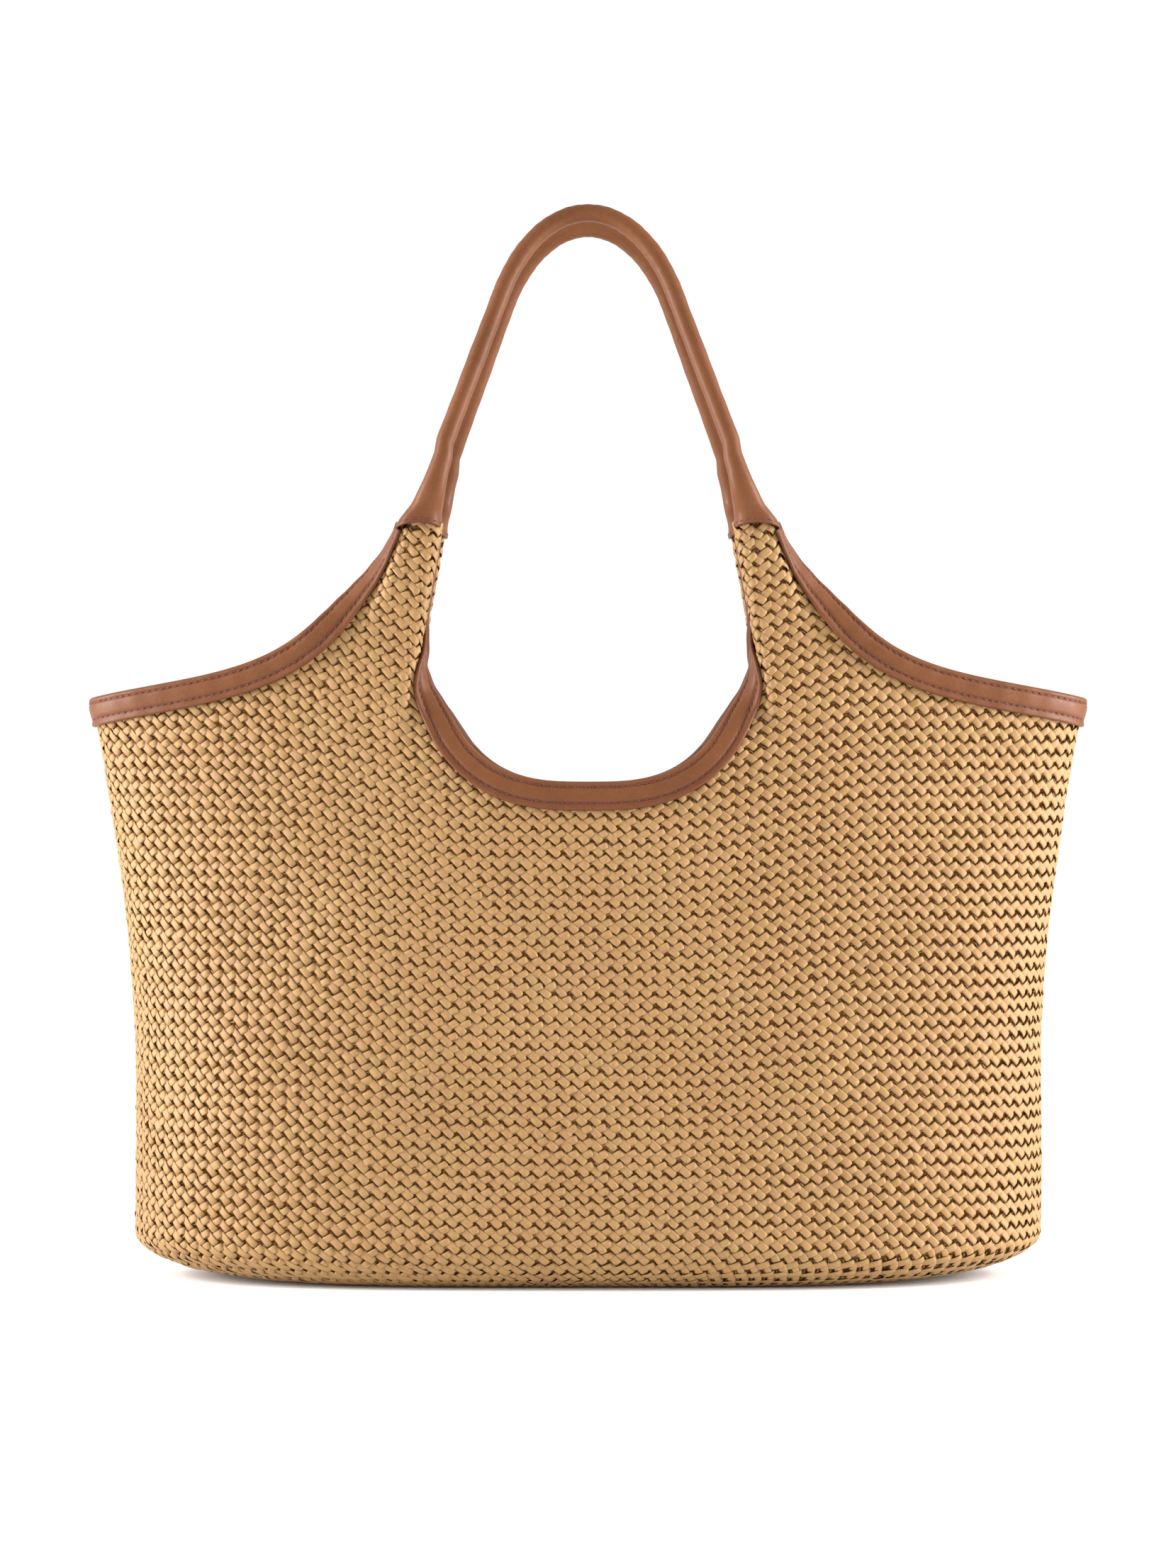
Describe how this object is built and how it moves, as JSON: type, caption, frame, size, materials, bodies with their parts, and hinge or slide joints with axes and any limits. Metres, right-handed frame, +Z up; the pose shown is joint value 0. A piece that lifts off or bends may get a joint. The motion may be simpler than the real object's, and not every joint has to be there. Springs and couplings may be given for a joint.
{
  "type": "beach bag",
  "caption": "Open-mouth straw beach bag: crocheted raffia body, cloth lining, leather bindings, rolled handles that swing, magnetic snap and an inner zip pocket.",
  "frame": {"origin": "under the middle of the base, on the surface that the bag stands on", "axes": "+Z up, +X to the right as seen from the front, -Y out of the front"},
  "size_m": [0.5366, 0.164, 0.5691],
  "materials": {
    "straw": "flat paper-raffia ribbon in shingled zigzag courses, matt with fine lengthwise fibre lines",
    "lining": "dark brown woven cotton lining",
    "base_board": "matt stiffener board",
    "leather": "cognac brown smooth leather, satin, fine grain, darker edges",
    "rope": "twisted cotton cord",
    "brass": "light antique brass"
  },
  "bodies": {
    "bag": {"front_panel": "straw", "back_panel": "straw", "base_panel": "straw", "front_lining": "lining", "back_lining": "lining", "base_lining": "lining", "pocket_panel": "lining", "zip_tape": "lining", "base_board": "base_board", "left_rim_binding": "leather", "right_rim_binding": "leather", "front_dip_binding": "leather", "back_dip_binding": "leather", "front_left_tab": "leather", "front_right_tab": "leather", "back_left_tab": "leather", "back_right_tab": "leather", "front_snap_patch": "leather", "back_snap_patch": "leather", "front_snap_stud": "brass", "back_snap_socket": "brass", "zip_coil": "brass"},
    "front_handle": {"front_handle_sleeve": "leather", "front_handle_core": "rope"},
    "back_handle": {"back_handle_sleeve": "leather", "back_handle_core": "rope"},
    "slider": {"zip_slider": "brass"},
    "pull": {"zip_pull": "brass"}
  },
  "joints": [
    {"name": "front_handle_swing", "type": "hinge", "parent": "bag", "child": "front_handle", "pos_m": [0, -0.05607, 0.4186], "axis": [1, 0, 0], "range_deg": [-10, 166]},
    {"name": "back_handle_swing", "type": "hinge", "parent": "bag", "child": "back_handle", "pos_m": [0, 0.05607, 0.4186], "axis": [-1, 0, 0], "range_deg": [-10, 166]},
    {"name": "zip_slide", "type": "slide", "parent": "bag", "child": "slider", "axis": [-1, 0, 0], "range_m": [0, 0.136]},
    {"name": "pull_swing", "type": "hinge", "parent": "slider", "child": "pull", "pos_m": [0.068, 0.05502, 0.19924], "axis": [0, 0.1309, -0.9914], "range_deg": [0, 175]}
  ]
}
